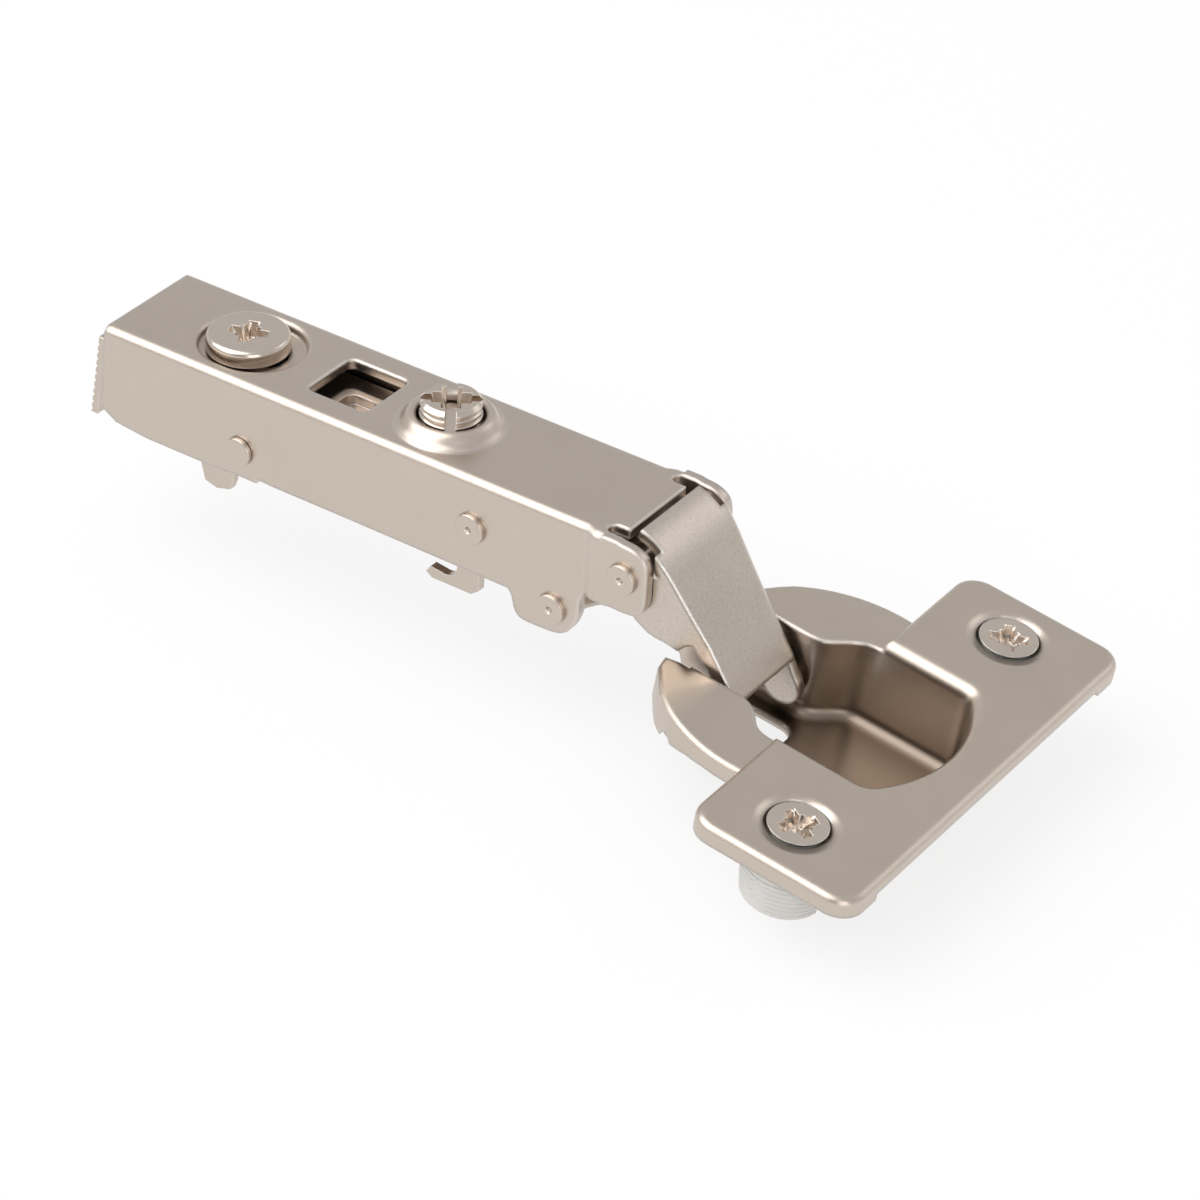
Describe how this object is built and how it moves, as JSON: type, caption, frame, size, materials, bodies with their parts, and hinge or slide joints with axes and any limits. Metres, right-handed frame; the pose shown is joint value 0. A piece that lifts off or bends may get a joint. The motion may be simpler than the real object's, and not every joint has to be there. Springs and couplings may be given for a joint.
{
  "type": "concealed hinge",
  "caption": "Concealed cup hinge with a clip-on adjustable arm, a folding double link and a flanged door cup on expanding dowels, held open.",
  "frame": {"origin": "on the axis of the front hook's mouth, at mid-width, where the mounting plate's front pin sits", "axes": "+X along the arm towards the door, +Y across the arm along the pins, +Z away from the cabinet side"},
  "size_m": [0.1153, 0.056, 0.0307],
  "materials": {
    "nickel_plated_steel": "satin nickel plating",
    "link_steel": "fine-grained nickel plating",
    "pin_steel": "bright nickel plating",
    "screw_steel": "bright nickel plating",
    "spring_steel": "oiled",
    "slate_plastic": "matte",
    "white_plastic": "matte"
  },
  "bodies": {
    "base": {"clip_base": "nickel_plated_steel", "catch_pin": "pin_steel", "clamp_nut": "screw_steel", "catch_spring": "spring_steel"},
    "clamp": {"clamp_screw": "screw_steel"},
    "catch": {"catch_lever": "nickel_plated_steel"},
    "slide": {"slide_plate": "nickel_plated_steel", "rear_pin": "pin_steel"},
    "side_screw": {"side_adjusting_screw": "screw_steel"},
    "arm": {"hinge_arm": "nickel_plated_steel", "spring_pin": "pin_steel", "outer_link_pin": "pin_steel", "inner_link_pin": "pin_steel", "closing_spring": "spring_steel"},
    "lever": {"pressure_lever": "slate_plastic"},
    "inner": {"inner_link": "nickel_plated_steel"},
    "outer": {"outer_link": "link_steel"},
    "cup": {"hinge_cup": "nickel_plated_steel", "cup_pin_outer": "pin_steel", "cup_pin_inner": "pin_steel", "dowel_left": "white_plastic", "dowel_right": "white_plastic", "cup_screw_left": "screw_steel", "cup_screw_right": "screw_steel"}
  },
  "joints": [
    {"name": "depth_slide", "type": "slide", "parent": "base", "child": "slide", "axis": [1, 0, 0], "range_m": [-0.0016, 0.0004]},
    {"name": "clamp_turn", "type": "hinge", "parent": "base", "child": "clamp", "pos_m": [-0.0309, 0, 0.0111], "axis": [0, 0, 1], "range_deg": [0, 360]},
    {"name": "catch_release", "type": "hinge", "parent": "base", "child": "catch", "pos_m": [-0.0363, 0, 0.0067], "axis": [0, 1, 0], "range_deg": [0, 5], "stiffness_Nm_per_rad": 0.01, "springref_deg": -2.86},
    {"name": "side_screw_turn", "type": "hinge", "parent": "slide", "child": "side_screw", "pos_m": [-0.0032, 0, 0.0121], "axis": [0, 0, 1], "range_deg": [-253, 253]},
    {"name": "arm_tilt", "type": "hinge", "parent": "slide", "child": "arm", "pos_m": [-0.0261, 0, 0.0054], "axis": [0, -1, 0], "range_deg": [-1.4, 1.4]},
    {"name": "lever_press", "type": "hinge", "parent": "arm", "child": "lever", "pos_m": [0.0052, 0, 0.0079], "axis": [0, -1, 0], "range_deg": [0, 3.3]},
    {"name": "inner_link_turn", "type": "hinge", "parent": "arm", "child": "inner", "pos_m": [0.016, 0, 0.0021], "axis": [0, -1, 0], "range_deg": [-23.9, 0]},
    {"name": "outer_link_turn", "type": "hinge", "parent": "arm", "child": "outer", "pos_m": [0.0251, 0, 0.0099], "axis": [0, -1, 0], "range_deg": [-11.1, 0]},
    {"name": "door_swing", "type": "hinge", "parent": "outer", "child": "cup", "pos_m": [0.03763, 0, -0.00558], "axis": [0, -1, 0], "range_deg": [0, 109.2]}
  ],
  "couplings": [
    {"joint": "outer_link_turn", "follows": "door_swing", "ratio": -0.10115},
    {"joint": "inner_link_turn", "follows": "door_swing", "ratio": -0.21808},
    {"joint": "lever_press", "follows": "door_swing", "ratio": 0.028},
    {"joint": "side_screw_turn", "follows": "arm_tilt", "ratio": -180}
  ]
}
